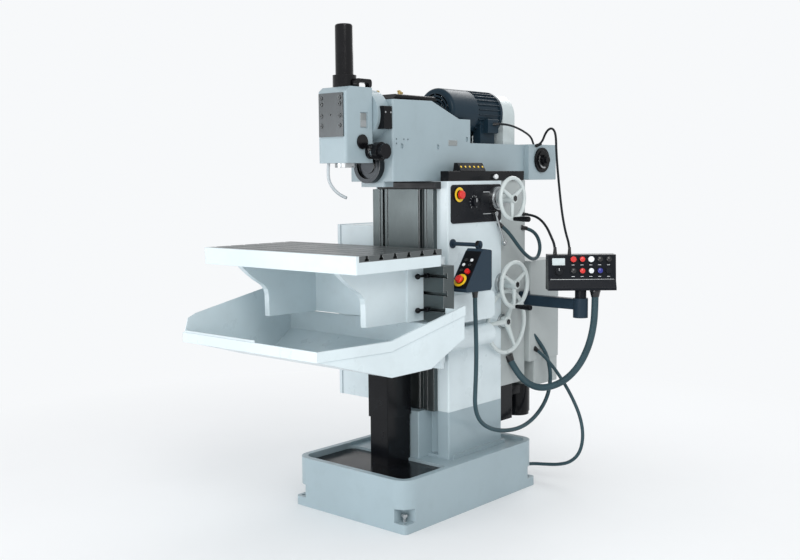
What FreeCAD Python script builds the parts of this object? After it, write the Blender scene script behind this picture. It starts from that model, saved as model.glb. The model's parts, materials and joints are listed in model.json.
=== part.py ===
import FreeCAD, Part
import math
import os
from FreeCAD import Vector

os.makedirs("parts", exist_ok=True)

# A universal toolroom milling machine.  Millimetres, +Z up, origin on the floor
# under the middle of the base.  The operator stands at -Y, +X is the machine's
# right-hand side, where the handwheels and controls are.

# ---- driving dimensions ----
BASE_X = 650.0
BASE_Y = 930.0
BASE_Z = 220.0
BASE_WALL = 28.0
LEDGE_Z = 205.0
SUMP_REAR_Y = -130.0
PLATE_TOP_Z = 193.0
PLATE_T = 6.0
LUG_H = 40.0
ANCHOR_X = 300.0
ANCHOR_Y = 440.0
ANCHOR_R = 9.0

COL_X = 213.0
COL_FRONT_Y = -44.0
COL_REAR_Y = 347.0
COL_SPLIT_Z = 417.0
COL_TOP_Z = 1430.0
COL_WALL = 26.0
WAY_FRONT_Y = -70.0

RAM_X = 124.0
RAM_FRONT_Y = -297.0
RAM_BEAM_END_Y = 658.0
RAM_END_Y = 893.0
RAM_BOTTOM_Z = 1431.0
BEAM_TOP_Z = 1600.0
RAM_TOP_Z = 1772.0
SPINDLE_Z = 1500.0
MOTOR_Z = 1745.0
MOTOR_R = 104.0
SWIVEL_Z = 1708.0

HEAD_X = 80.0
HEAD_FRONT_Y = -530.0
HEAD_REAR_Y = -368.0
HEAD_BOTTOM_Z = 1508.0
HEAD_TOP_Z = 1816.0
SPINDLE_Y = -453.0
NOSE_R = 44.44
NOSE_PCD = 66.7
QUILL_R = 50.0

KNEE_FRONT_Y = -204.0
SLIDE_FRONT_Y = -272.0
SLIDE_LEFT_X = -430.0
SLIDE_RIGHT_X = 372.0
TABLE_LEFT_X = -538.0
TABLE_RIGHT_X = 362.0
TABLE_FRONT_Y = -772.0
TABLE_TOP_Z = 1157.0
TABLE_PLATE_T = 24.0
TABLE_SLAB_T = 46.0
SLOT_W = 14.0
SLOT_PITCH = 80.0

RUN_FIT = 0.05


# ---- helpers ----
def block(x0, x1, y0, y1, z0, z1):
    return Part.makeBox(x1 - x0, y1 - y0, z1 - z0, Vector(x0, y0, z0))


def rod(x, y, z, axis, r, length):
    return Part.makeCylinder(r, length, Vector(x, y, z), Vector(*axis))


def ring(x, y, z, axis, r_out, r_in, length):
    return rod(x, y, z, axis, r_out, length).cut(rod(x, y, z, axis, r_in, length))


def prism(points, vector):
    wire = Part.makePolygon([Vector(*p) for p in points + points[:1]])
    return Part.Face(wire).extrude(Vector(*vector))


def rounded(shape, radius, axis):
    """Round the straight edges of a box that run along the given axis."""
    picked = []
    for edge in shape.Edges:
        if len(edge.Vertexes) != 2:
            continue
        run = edge.Vertexes[1].Point.sub(edge.Vertexes[0].Point)
        if run.Length > 0 and abs(run.dot(Vector(*axis))) > 0.999 * run.Length:
            picked.append(edge)
    return shape.makeFillet(radius, picked)


def soft_block(x0, x1, y0, y1, z0, z1, radius, axis):
    return rounded(block(x0, x1, y0, y1, z0, z1), radius, axis)


def fused(shapes):
    whole = shapes[0]
    for shape in shapes[1:]:
        whole = whole.fuse(shape)
    return whole.removeSplitter()


def without(shape, cutters):
    for cutter in cutters:
        shape = shape.cut(cutter)
    return shape


def save(name, shapes):
    group = shapes if isinstance(shapes, list) else [shapes]
    solids = [solid for shape in group for solid in shape.Solids]
    whole = solids[0] if len(solids) == 1 else Part.makeCompound(solids)
    whole.exportStep("parts/" + name + ".step")
    print(name, len(solids), round(sum(s.Volume for s in solids)), whole.isValid())


def cable(name, points, diameter, extra=()):
    """A tube along straight runs joined by tangent arcs."""
    pts = [Vector(*p) for p in points]
    edges = []
    start = pts[0]
    least = 1e9
    for k in range(1, len(pts) - 1):
        back = pts[k - 1].sub(pts[k])
        ahead = pts[k + 1].sub(pts[k])
        turn = math.pi - back.getAngle(ahead)
        reach = 0.45 * min(back.Length, ahead.Length)
        radius = reach / math.tan(turn / 2)
        least = min(least, radius)
        back.normalize()
        ahead.normalize()
        a = pts[k].add(back * reach)
        b = pts[k].add(ahead * reach)
        middle_way = back.add(ahead)
        middle_way.normalize()
        to_middle = radius / math.cos(turn / 2) - radius
        m = pts[k].add(middle_way * to_middle)
        edges.append(Part.LineSegment(start, a).toShape())
        edges.append(Part.Arc(a, m, b).toShape())
        start = b
    edges.append(Part.LineSegment(start, pts[-1]).toShape())
    path = Part.Wire(edges)
    way = pts[1].sub(pts[0])
    circle = Part.Circle(pts[0], way, diameter / 2)
    section = Part.Wire([circle.toShape()])
    tube = path.makePipeShell([section], True, False)
    ideal = math.pi * diameter ** 2 / 4 * path.Length
    print(name, "length", round(path.Length, 1), "least radius", round(least, 1),
          "volume ratio", round(tube.Volume / ideal, 4))
    save(name, [tube] + list(extra))


# ---- base with coolant sump ----
hx = BASE_X / 2
hy = BASE_Y / 2
tub = soft_block(-hx, hx, -hy, hy, 0, BASE_Z, 70, (0, 0, 1))
lug_reach = 85.0
lugs = []
pockets = []
for sx in (-1, 1):
    for sy in (-1, 1):
        x0, x1 = sorted((sx * hx, sx * (hx - lug_reach)))
        y0, y1 = sorted((sy * hy, sy * (hy - lug_reach)))
        lugs.append(soft_block(x0, x1, y0, y1, 0, LUG_H, 18, (0, 0, 1)))
        px0, px1 = sorted((sx * (hx + 20), sx * (hx - 62)))
        py0, py1 = sorted((sy * (hy + 20), sy * (hy - 62)))
        pockets.append(soft_block(px0, px1, py0, py1, LUG_H, 98, 16, (0, 0, 1)))
anchors = [rod(sx * ANCHOR_X, sy * ANCHOR_Y, -1, (0, 0, 1), ANCHOR_R, 60)
           for sx in (-1, 1) for sy in (-1, 1)]
wall = BASE_WALL
sump = soft_block(-hx + wall, hx - wall, -hy + wall, SUMP_REAR_Y,
                  PLATE_TOP_Z - PLATE_T, BASE_Z + 1, 42, (0, 0, 1))
sump_low = soft_block(-hx + wall + 14, hx - wall - 14, -hy + wall + 14,
                      SUMP_REAR_Y - 14, 108, BASE_Z, 34, (0, 0, 1))
ledge = soft_block(-hx + wall, hx - wall, SUMP_REAR_Y - 45, hy - wall,
                   LEDGE_Z, BASE_Z + 1, 42, (0, 0, 1))
under = []
for sx in (-1, 1):
    x0, x1 = sorted((sx * 22, sx * 285))
    under.append(block(x0, x1, 22, 395, -1, 178))
    under.append(block(x0, x1, -395, -22, -1, 50))
jack_holes = [rod(sx * 283, sy * 423, -1, (0, 0, 1), 8, 60) for sx in (-1, 1) for sy in (-1, 1)]
tub = without(tub, pockets)
tub = fused([tub] + lugs)
cable_entry = rod(235, hy - 90, 70, (0, 1, 0), 8, 100)
tub = without(tub, [sump, sump_low, ledge] + under + anchors + jack_holes + [cable_entry])
save("base_tub", tub)

plate = soft_block(-hx + wall + 1, hx - wall - 1, -hy + wall + 1, SUMP_REAR_Y - 1,
                   PLATE_TOP_Z - PLATE_T, PLATE_TOP_Z, 41, (0, 0, 1))
drain = [rod(x, -400, 180, (0, 0, 1), 7, 30) for x in (-220, -180, 180, 220)]
save("sump_plate", without(plate, drain))

jacks = []
for sx in (-1, 1):
    for sy in (-1, 1):
        shank = rod(sx * 283, sy * 423, 0.5, (0, 0, 1), 8, 62)
        corners = [(sx * 283 + 15 * math.cos(math.radians(60 * k)),
                    sy * 423 + 15 * math.sin(math.radians(60 * k)), 60) for k in range(6)]
        jacks.append(shank.fuse(prism(corners, (0, 0, 12))))
save("levelling_screws", jacks)

# ---- column ----
lower = soft_block(-COL_X, COL_X, COL_FRONT_Y, COL_REAR_Y, LEDGE_Z, COL_SPLIT_Z, 6, (0, 0, 1))
pedestal = soft_block(-95, 95, -112, COL_FRONT_Y + 30, LEDGE_Z, COL_SPLIT_Z, 4, (0, 0, 1))
grooves = [block(95, 151, COL_FRONT_Y - 1, COL_FRONT_Y + 26, LEDGE_Z + 12, COL_SPLIT_Z),
           block(-151, -95, COL_FRONT_Y - 1, COL_FRONT_Y + 26, LEDGE_Z + 12, COL_SPLIT_Z)]
hollow = block(-COL_X + COL_WALL, COL_X - COL_WALL, 12, COL_REAR_Y - COL_WALL,
               LEDGE_Z - 1, COL_SPLIT_Z + 1)
foot = block(-COL_X - 12, COL_X + 12, COL_FRONT_Y + 20, COL_REAR_Y + 12, LEDGE_Z, LEDGE_Z + 18)
lower = fused([lower, pedestal, foot])
save("column_lower", without(lower, grooves + [hollow]))

upper = soft_block(-COL_X, COL_X, COL_FRONT_Y, COL_REAR_Y, COL_SPLIT_Z, COL_TOP_Z, 6, (0, 0, 1))
hollow = block(-COL_X + COL_WALL, COL_X - COL_WALL, COL_FRONT_Y + COL_WALL + 12,
               COL_REAR_Y - COL_WALL, COL_SPLIT_Z - 1, COL_TOP_Z - 30)
recess = block(-205, 150, COL_FRONT_Y - 1, COL_FRONT_Y + 8, COL_SPLIT_Z - 1, COL_TOP_Z - 34)
stop_hole = rod(COL_X - 4, 24, 1371, (1, 0, 0), 9.6, 20)
save("column_upper", without(upper, [hollow, recess, stop_hole]))

ways = block(-205, 150, WAY_FRONT_Y, COL_FRONT_Y + 8, COL_SPLIT_Z, COL_TOP_Z - 34)
way_grooves = []
for x0, x1, depth in ((-163, -158, 8), (-146, -132, 16), (-118, -112, 5), (66, 72, 5),
                      (74, 101, 18), (112, 116, 4)):
    way_grooves.append(block(x0, x1, WAY_FRONT_Y - 1, WAY_FRONT_Y + depth,
                             COL_SPLIT_Z - 1, COL_TOP_Z))
wiper = soft_block(-165, 174, WAY_FRONT_Y - 14, COL_FRONT_Y, COL_TOP_Z - 33, COL_TOP_Z - 2,
                   4, (1, 0, 0))
save("column_ways", [without(ways, way_grooves), wiper])

# ---- rear drive housing, rear cabinet and feed motor ----
rear = soft_block(-200, 200, COL_REAR_Y, 560, 470, COL_TOP_Z, 10, (0, 0, 1))
rear = rear.cut(block(-194, 194, COL_REAR_Y - 1, 554, 476, COL_TOP_Z - 6))
bosses = [rod(199, 342 + 20, 957, (1, 0, 0), 40, 14.0), rod(199, 362, 780, (1, 0, 0), 40, 14.0)]
bosses = [b.common(block(190, 213, COL_REAR_Y, 560, 470, 1200)) for b in bosses]
rear = fused([rear] + bosses)
cabinet = soft_block(-226, 226, 560, 812, 562, 1046, 8, (0, 0, 1))
cabinet = cabinet.cut(block(-222, 222, 564, 808, 566, 1042))
tank = soft_block(-222, 222, 604, 808, 438, 562, 8, (0, 0, 1))
tank = tank.cut(block(-218, 218, 608, 804, 442, 558))
save("rear_housing", [rear, cabinet, tank])
gearbox = soft_block(-60, 195, COL_REAR_Y, 462, 302, 470, 6, (0, 0, 1))
feed_body = rod(110, 620, 300, (0, 0, 1), 62, 138)
feed_cap = rod(110, 620, 284, (0, 0, 1), 58, 16)
link = block(60, 160, 462, 575, 400, 440)
link = link.cut(rod(110, 620, 280, (0, 0, 1), 62, 160))
save("feed_drive", [fused([gearbox, link]), fused([feed_body, feed_cap])])

# ---- electrical cabinet on the left of the column ----
cab_x0 = -452.0
cab_x1 = -COL_X
shell = soft_block(cab_x0 + 18, cab_x1, -50, 330, 420, 1228, 6, (0, 0, 1))
shell = shell.cut(block(cab_x0 + 17, cab_x1 - 4, -46, 326, 424, 1224))
HINGE_X = cab_x0 + 8.5
HINGE_Y = 338.7
shell_hinges = []
for z in (520, 1100):
    shell_hinges.append(rod(HINGE_X, HINGE_Y, z - 24, (0, 0, 1), 6.5, 23.5))
    shell_hinges.append(rod(HINGE_X, HINGE_Y, z - 2, (0, 0, 1), 3, 34))
    shell_hinges.append(block(HINGE_X, cab_x0 + 30, 333, HINGE_Y, z - 24, z - 0.5))
    shell_hinges.append(block(cab_x0 + 19, cab_x0 + 30, 329, HINGE_Y, z - 24, z - 0.5))
save("electrical_cabinet", fused([shell] + shell_hinges))
door = soft_block(cab_x0, cab_x0 + 17.5, -52, 332, 418, 1230, 5, (1, 0, 0))
latch = fused([rod(cab_x0 - 9, -20, 830, (1, 0, 0), 14, 9),
               soft_block(cab_x0 - 18, cab_x0 - 9, -28, -12, 780, 850, 3, (1, 0, 0))])
knuckles = []
for z in (520, 1100):
    knuckles.append(rod(HINGE_X, HINGE_Y, z, (0, 0, 1), 6.5, 30))
    knuckles.append(block(HINGE_X - 4, HINGE_X + 4, 330, HINGE_Y - 2, z, z + 30))
door = fused([door, latch] + knuckles)
save("cabinet_door", without(door, [rod(HINGE_X, HINGE_Y, z - 1, (0, 0, 1), 3 + RUN_FIT, 40)
                                    for z in (520, 1100)]))

# ---- telescopic way cover and lifting screw ----
cover_low = soft_block(-52, 52, -267, -118, PLATE_TOP_Z, 600, 4, (0, 0, 1))
cover_low = cover_low.cut(block(-49, 49, -264, -121, PLATE_TOP_Z - 1, 601))
cover_low = cover_low.cut(block(-60, 60, SUMP_REAR_Y, -100, PLATE_TOP_Z - 2, LEDGE_Z))
save("lower_way_cover", cover_low)
cover_up = soft_block(-57, 57, -273, -116, 404, 640, 4, (0, 0, 1))
cover_up = cover_up.cut(block(-54, 54, -270, -117, 403, 641))
save("upper_way_cover", cover_up)
screw = rod(0, -160, PLATE_TOP_Z + 0.5, (0, 0, 1), 16, 728)
for k in range(61):
    screw = screw.cut(ring(0, -160, 300 + 10 * k, (0, 0, 1), 17, 13.5, 4))
save("lifting_screw", screw)

# ---- knee ----
knee = soft_block(-COL_X - 2, 300, KNEE_FRONT_Y, WAY_FRONT_Y - 0.5, 645, 1108, 8, (0, 0, 1))
wing_trim = block(COL_X + 2, 301, -184, WAY_FRONT_Y, 640, 1110)
nose = soft_block(-74, 74, -276, KNEE_FRONT_Y + 10, 640, 845, 5, (0, 0, 1))
cheek = soft_block(COL_X + 2, 290, -200, 190, 822, 945, 26, (1, 0, 0))
boss = rod(264, -200, 751, (0, 1, 0), 48, 374)
boss = boss.makeFillet(7, [boss.Edges[0]])
knee = fused([knee.cut(wing_trim), nose, cheek, boss])
shaft_room = block(-54, 54, -270, -117, 600, 842)
screw_room = block(-40, 40, -190, -117, 640, 1100)
weight_save = [block(-190, -75, -184, WAY_FRONT_Y - 20, 600, 1085),
               block(75, 190, -184, WAY_FRONT_Y - 20, 600, 1085)]
knee = without(knee, [shaft_room, screw_room] + weight_save)
nut = ring(0, -160, 715, (0, 0, 1), 26, 16.3, 30)
nut_tube = ring(0, -160, 745, (0, 0, 1), 26, 20, 105)
nut_flange = block(-42, 42, -192, -115, 842, 860).cut(rod(0, -160, 830, (0, 0, 1), 20, 60))
save("knee_casting", fused([knee, nut, nut_tube, nut_flange]))

# ---- cross slide with its T-slots ----
slide = soft_block(SLIDE_LEFT_X, SLIDE_RIGHT_X, SLIDE_FRONT_Y, KNEE_FRONT_Y - 0.5, 850, 1087,
                   2, (1, 0, 0))
slide_cuts = []
for z in (905, 972, 1045):
    slide_cuts.append(block(SLIDE_LEFT_X - 1, SLIDE_RIGHT_X + 1, SLIDE_FRONT_Y - 1,
                            SLIDE_FRONT_Y + 14, z - 7, z + 7))
    slide_cuts.append(block(SLIDE_LEFT_X - 1, SLIDE_RIGHT_X + 1, SLIDE_FRONT_Y + 14,
                            SLIDE_FRONT_Y + 24, z - 12, z + 12))
slide = without(slide, slide_cuts)
save("cross_slide", slide)

# ---- rigid angle table ----
slab_top = TABLE_TOP_Z - TABLE_PLATE_T
slab_bottom = slab_top - TABLE_SLAB_T
slab = soft_block(TABLE_LEFT_X, TABLE_RIGHT_X, TABLE_FRONT_Y, SLIDE_FRONT_Y,
                  slab_bottom, slab_top, 6, (0, 0, 1))
lip = block(TABLE_LEFT_X, TABLE_RIGHT_X, TABLE_FRONT_Y, TABLE_FRONT_Y + 14,
            slab_top - 1, TABLE_TOP_Z)
back_plate = block(-370, 264, -372, SLIDE_FRONT_Y, 858, slab_bottom + 1)
back_pocket = block(-308, 230, -373, -338, 857, slab_bottom)


def gusset(x0, x1):
    profile = [(x0, SLIDE_FRONT_Y - 20, slab_bottom + 1), (x0, -762, slab_bottom + 1),
               (x0, -756, slab_bottom - 6), (x0, -722, 1052), (x0, -680, 1022),
               (x0, -642, 1000), (x0, -622, 978), (x0, -616, 955), (x0, -615, 862),
               (x0, SLIDE_FRONT_Y - 20, 858)]
    return prism(profile, (x1 - x0, 0, 0))


table = fused([slab, lip, back_plate, gusset(-336, -308), gusset(230, 258)])
table = table.cut(back_pocket)
plate = block(TABLE_LEFT_X, TABLE_RIGHT_X, TABLE_FRONT_Y + 14, SLIDE_FRONT_Y,
              slab_top, TABLE_TOP_Z)
slots = []
for k in range(-2, 4):
    y = -555 + k * SLOT_PITCH
    slots.append(block(TABLE_LEFT_X - 1, TABLE_RIGHT_X + 1, y - SLOT_W / 2, y + SLOT_W / 2,
                       TABLE_TOP_Z - 13, TABLE_TOP_Z + 1))
    slots.append(block(TABLE_LEFT_X - 1, TABLE_RIGHT_X + 1, y - 12, y + 12,
                       TABLE_TOP_Z - 21, TABLE_TOP_Z - 12))
save("angle_table", fused([table, without(plate, slots)]))

# ---- chip tray: a folded sheet trough carried by the cross slide ----
TRAY_T = 3.0
PLAN = [(-436, -965), (348, -965), (388, -610), (434, -214), (-548, -214)]
FLOOR = [(-965, 783), (-610, 680), (-400, 688), (-286, 752)]
RIGHT_TOP = [(-214, 926), (-610, 824), (-965, 823)]
LEFT_TOP = [(-214, 992), (-475, 958), (-900, 895), (-945, 880), (-965, 823)]


def plan_prism(inset):
    """The tray's outline from above, drawn in by the same distance all round."""
    (a, b, c, d, e) = PLAN
    pts = [(a[0] + inset, a[1] + inset), (b[0] - inset, b[1] + inset), (c[0] - inset, c[1]),
           (d[0] - inset, d[1] + 2 * inset), (e[0] + inset, e[1] + 2 * inset)]
    return prism([(x, y, 600) for x, y in pts], (0, 0, 500))


def side_profile(top, x0, x1):
    pts = [(x0, y, z) for y, z in FLOOR] + [(x0, -214, 790)] + [(x0, y, z) for y, z in top]
    return prism(pts, (x1 - x0, 0, 0))


outer = fused([side_profile(LEFT_TOP, -700, 0), side_profile(RIGHT_TOP, 0, 700)])
outer = outer.common(plan_prism(0))
inner_pts = [(-700, -1200, 783 + TRAY_T), (-700, -963, 783 + TRAY_T), (-700, -610, 680 + TRAY_T),
             (-700, -400, 688 + TRAY_T), (-700, -288, 752 + TRAY_T), (-700, -288, 1300),
             (-700, -1200, 1300)]
inner = prism(inner_pts, (1400, 0, 0)).common(plan_prism(TRAY_T))
behind = block(-700, 700, -290, -100, 600, 1300).common(
    prism([(-536, -300, 600), (421, -300, 600), (430, -100, 600), (-546, -100, 600)],
          (0, 0, 700)))
tray = without(outer, [inner, behind])
rear_lip = block(-534, 418, -290, -286.5, 751, 846)
brackets = [block(SLIDE_RIGHT_X, 429, -262, -258, 870, 915),
            block(-542, SLIDE_LEFT_X, -262, -258, 870, 915)]
front_band = prism([(-440, -971, 783), (351, -971, 783), (348, -965, 783), (-436, -965, 783)],
                   (0, 0, 40))
band_low = prism([(351, -971, 783), (394, -610, 783), (388, -610, 783), (348, -965, 783)],
                 (0, 0, 40))
band_high = prism([(394, -610, 784), (394, -610, 824), (440, -214, 926), (440, -214, 886)],
                  (-6, 0, 0))
tray = fused([tray, rear_lip] + brackets + [front_band, band_low, band_high])
save("chip_tray", tray)

# ---- ram ----
profile = [(RAM_FRONT_Y, RAM_BOTTOM_Z), (RAM_FRONT_Y, RAM_TOP_Z), (-45, RAM_TOP_Z + 4),
           (146, 1705), (234, 1705), (234, BEAM_TOP_Z), (RAM_BEAM_END_Y, BEAM_TOP_Z),
           (RAM_BEAM_END_Y, RAM_BOTTOM_Z)]
ram = prism([(-RAM_X, y, z) for y, z in profile], (2 * RAM_X, 0, 0))
ram = rounded(ram, 9, (0, 0, 1))
rear_box = soft_block(-150, 150, RAM_BEAM_END_Y - 3, RAM_END_Y, RAM_BOTTOM_Z, BEAM_TOP_Z + 2,
                      6, (1, 0, 0))
nose_block = soft_block(-67, 67, RAM_FRONT_Y + 6, -232, 1408, RAM_BOTTOM_Z + 1, 3, (0, 0, 1))
ram = fused([ram, rear_box, nose_block])
inside = block(-RAM_X + 18, RAM_X - 18, RAM_FRONT_Y + 40, RAM_END_Y - 16,
               RAM_BOTTOM_Z + 12, BEAM_TOP_Z - 14)
upper_inside = block(-RAM_X + 14, RAM_X - 14, RAM_FRONT_Y + 30, 60, 1560, RAM_TOP_Z - 14)
motor_room = block(-111, 111, 60, 235, 1622, 1800)
spindle_bore = rod(0, RAM_FRONT_Y - 1, SPINDLE_Z, (0, 1, 0), 44 + RUN_FIT, 60)
rear_web = block(-RAM_X + 17, RAM_X - 17, 478, 500, RAM_BOTTOM_Z + 11, BEAM_TOP_Z - 13)
rear_web = rear_web.cut(rod(0, 470, SPINDLE_Z, (0, 1, 0), 30 + RUN_FIT, 40))
belt_way = block(-60, 60, 512, 590, 1560, BEAM_TOP_Z + 5)
shaft_bore = rod(0, RAM_FRONT_Y - 1, SWIVEL_Z, (0, 1, 0), 30, 60)
side_holes = [rod(RAM_X - 8, y, z, (1, 0, 0), r, 12)
              for y, z, r in ((-275, 1607, 4), (-275, 1589, 4), (-227, 1607, 4),
                              (-202, 1607, 4))]
ovals = [soft_block(RAM_X - 7, RAM_X + 2, y - 8, y + 8, z - 11, z + 11, 7, (1, 0, 0))
         for y, z in ((-240, 1579), (-2, 1579), (204, 1616))]
ram = without(ram, [inside, upper_inside, motor_room, spindle_bore, belt_way, shaft_bore]
              + side_holes + ovals)
save("ram_casting", fused([ram, rear_web]))
nose_cap = ring(0, RAM_FRONT_Y - 30, SPINDLE_Z, (0, 1, 0), 76, 58, 30)
nose_cap = nose_cap.fuse(rod(0, RAM_FRONT_Y - 16, SPINDLE_Z, (0, 1, 0), 60, 10))
nose_cap = nose_cap.fuse(rod(0, RAM_FRONT_Y - 22, SPINDLE_Z, (0, 1, 0), 34, 8))
top_cover = soft_block(-96, 96, RAM_FRONT_Y + 30, 30, RAM_TOP_Z + 4, RAM_TOP_Z + 26,
                       10, (0, 1, 0))
top_cover = top_cover.common(prism(
    [(-100, RAM_FRONT_Y + 30, RAM_TOP_Z), (-100, RAM_FRONT_Y + 60, RAM_TOP_Z + 27),
     (-100, 10, RAM_TOP_Z + 27), (-100, 30, RAM_TOP_Z)], (200, 0, 0)))
under_cover = prism([(-130, RAM_FRONT_Y - 1, RAM_TOP_Z - 9), (-130, RAM_FRONT_Y - 1, RAM_TOP_Z),
                     (-130, -45, RAM_TOP_Z + 4), (-130, 146, 1705), (-130, 146, 1690)],
                    (260, 0, 0))
cover_foot = block(-96, 96, RAM_FRONT_Y + 30, -46, RAM_TOP_Z - 6, RAM_TOP_Z + 6)
top_cover = fused([top_cover.cut(block(-99, 99, -45, 40, 1700, RAM_TOP_Z + 5)),
                   cover_foot]).cut(under_cover)

# ---- main motor, belt and horizontal spindle ----
arch = fused([block(-105, 105, 506, 600, BEAM_TOP_Z, 1735), rod(0, 506, 1735, (0, 1, 0), 105, 94)])
arch = arch.cut(fused([block(-99, 99, 512, 594, BEAM_TOP_Z - 1, 1735),
                       rod(0, 512, 1735, (0, 1, 0), 99, 82)]))
arch = arch.cut(rod(0, 500, MOTOR_Z, (0, 1, 0), 30, 20))
save("belt_housing", arch)
body = rod(0, 318, MOTOR_Z, (0, 1, 0), MOTOR_R - 8, 188)
fins = [block(-1.6, 1.6, 330, 488, MOTOR_Z + 60, MOTOR_Z + MOTOR_R) for k in range(28)]
for k, fin in enumerate(fins):
    fin.rotate(Vector(0, 0, MOTOR_Z), Vector(0, 1, 0), 360.0 * k / 28 + 6)
flange = rod(0, 490, MOTOR_Z, (0, 1, 0), MOTOR_R, 16)
feet = [soft_block(sx * 66 - 22, sx * 66 + 22, 352, 462, BEAM_TOP_Z, MOTOR_Z - 40, 3, (0, 0, 1))
        for sx in (-1, 1)]
box_side = soft_block(60, 118, 372, 452, MOTOR_Z - 96, MOTOR_Z - 30, 6, (0, 1, 0))
rotor_room = rod(0, 300, MOTOR_Z, (0, 1, 0), 70, 180)
spigot = rod(0, 308, MOTOR_Z, (0, 1, 0), MOTOR_R - 4, 12)
motor = fused([body, spigot] + fins + [flange] + feet + [box_side])
motor = motor.cut(rotor_room).cut(rod(0, 470, MOTOR_Z, (0, 1, 0), 15, 50))
save("main_motor", motor)
fan = rod(0, 128, MOTOR_Z, (0, 1, 0), MOTOR_R, 190)
fan = fan.makeFillet(18, [e for e in fan.Edges if e.BoundBox.YMax < 129])
fan_room = rod(0, 131, MOTOR_Z, (0, 1, 0), MOTOR_R - 4, 188)
fan = fan.cut(fan_room.makeFillet(15, [e for e in fan_room.Edges if e.BoundBox.YMax < 132]))
for r in (30, 45, 60, 75):
    fan = fan.cut(ring(0, 120, MOTOR_Z, (0, 1, 0), r + 3.5, r - 3.5, 14))
spokes = [block(-3, 3, 128, 131, MOTOR_Z - 80, MOTOR_Z + 80),
          block(-80, 80, 128, 131, MOTOR_Z - 3, MOTOR_Z + 3)]
fan = fused([fan] + spokes)
save("motor_fan_cover", fan)
shaft = rod(0, 160, MOTOR_Z, (0, 1, 0), 14, 416)
rotor = rod(0, 330, MOTOR_Z, (0, 1, 0), 66, 130)
pulley = ring(0, 530, MOTOR_Z, (0, 1, 0), 35, 5, 34)
impeller = [block(-2, 2, 176, 216, MOTOR_Z, MOTOR_Z + 84) for k in range(7)]
for k, blade in enumerate(impeller):
    blade.rotate(Vector(0, 0, MOTOR_Z), Vector(0, 1, 0), 360.0 * k / 7)
fan_hub = rod(0, 176, MOTOR_Z, (0, 1, 0), 24, 40)
save("motor_shaft", fused([shaft, rotor, pulley, fan_hub] + impeller))
spindle = fused([rod(0, RAM_FRONT_Y - 5.5, SPINDLE_Z, (0, 1, 0), 44, 50),
                 rod(0, RAM_FRONT_Y + 40, SPINDLE_Z, (0, 1, 0), 30, 790),
                 ring(0, 530, SPINDLE_Z, (0, 1, 0), 50, 5, 34)])
save("horizontal_spindle", spindle)
big = 50.3
small = 35.3
drop = MOTOR_Z - SPINDLE_Z


def belt_outline(extra):
    """Two circles and the straight runs between them, as one flat face."""
    r1 = small + extra
    r2 = big + extra
    tilt = math.asin((r2 - r1) / drop)
    c = math.cos(tilt)
    s = math.sin(tilt)
    up_r = (r1 * c, 532, MOTOR_Z + r1 * s)
    up_l = (-r1 * c, 532, MOTOR_Z + r1 * s)
    low_r = (r2 * c, 532, SPINDLE_Z + r2 * s)
    low_l = (-r2 * c, 532, SPINDLE_Z + r2 * s)
    edges = [Part.Arc(Vector(*up_l), Vector(0, 532, MOTOR_Z + r1), Vector(*up_r)).toShape(),
             Part.LineSegment(Vector(*up_r), Vector(*low_r)).toShape(),
             Part.Arc(Vector(*low_r), Vector(0, 532, SPINDLE_Z - r2), Vector(*low_l)).toShape(),
             Part.LineSegment(Vector(*low_l), Vector(*up_l)).toShape()]
    return Part.Face(Part.Wire(edges))


belt = belt_outline(5).extrude(Vector(0, 30, 0)).cut(belt_outline(0).extrude(Vector(0, 30, 0)))
save("drive_belt", belt)
dial = fused([rod(150.4, 762, 1527, (1, 0, 0), 44, 16), rod(166, 762, 1527, (1, 0, 0), 26, 16),
              rod(182, 762, 1527, (1, 0, 0), 17, 10)])
dial_ring = ring(150.4, 762, 1527, (1, 0, 0), 60, 43, 10)
save("range_dial", fused([dial, dial_ring]))

# ---- swivel flange and vertical head ----
swivel = rod(0, HEAD_REAR_Y + 0.5, SWIVEL_Z, (0, 1, 0), 106, RAM_FRONT_Y - HEAD_REAR_Y - 0.5)
swivel = swivel.cut(rod(0, HEAD_REAR_Y - 1, SWIVEL_Z, (0, 1, 0), 30, 90))
scale = soft_block(70, 126, -352, -304, 1648, 1742, 4, (0, 1, 0))
scale = scale.cut(rod(0, -400, SWIVEL_Z, (0, 1, 0), 106, 120))
save("swivel_flange", swivel)
save("ram_covers", [nose_cap, top_cover, scale])
head = block(-HEAD_X, HEAD_X, HEAD_FRONT_Y, HEAD_REAR_Y, HEAD_BOTTOM_Z, HEAD_TOP_Z)
head = rounded(head, 10, (0, 0, 1))
head = head.cut(prism([(-90, HEAD_FRONT_Y - 1, 1793), (-90, HEAD_FRONT_Y - 1, HEAD_TOP_Z + 1),
                       (-90, HEAD_FRONT_Y + 30, HEAD_TOP_Z + 1)], (180, 0, 0)))
head = head.cut(rod(0, SPINDLE_Y, HEAD_BOTTOM_Z - 1, (0, 0, 1), QUILL_R + RUN_FIT, 296))
head = head.cut(rod(0, SPINDLE_Y, HEAD_BOTTOM_Z, (0, 0, 1), 34, 400))
head = head.cut(block(HEAD_X - 5, HEAD_X + 1, -446, -402, 1650, 1714))
head = head.cut(rod(0, HEAD_REAR_Y + 1, SWIVEL_Z, (0, -1, 0), 30, 40))
save("head_casting", head)
face = soft_block(-68, 68, HEAD_FRONT_Y - 7, HEAD_FRONT_Y, 1614, 1790, 2, (0, 1, 0))
holes = [(sx * 52, z) for sx in (-1, 1) for z in (1771, 1746, 1699, 1659)]
face = without(face, [rod(x, HEAD_FRONT_Y - 8, z, (0, 1, 0), 9, 5) for x, z in holes])
face = face.cut(rod(0, HEAD_FRONT_Y - 8, 1702, (0, 1, 0), 4, 6))
screws = []
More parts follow.
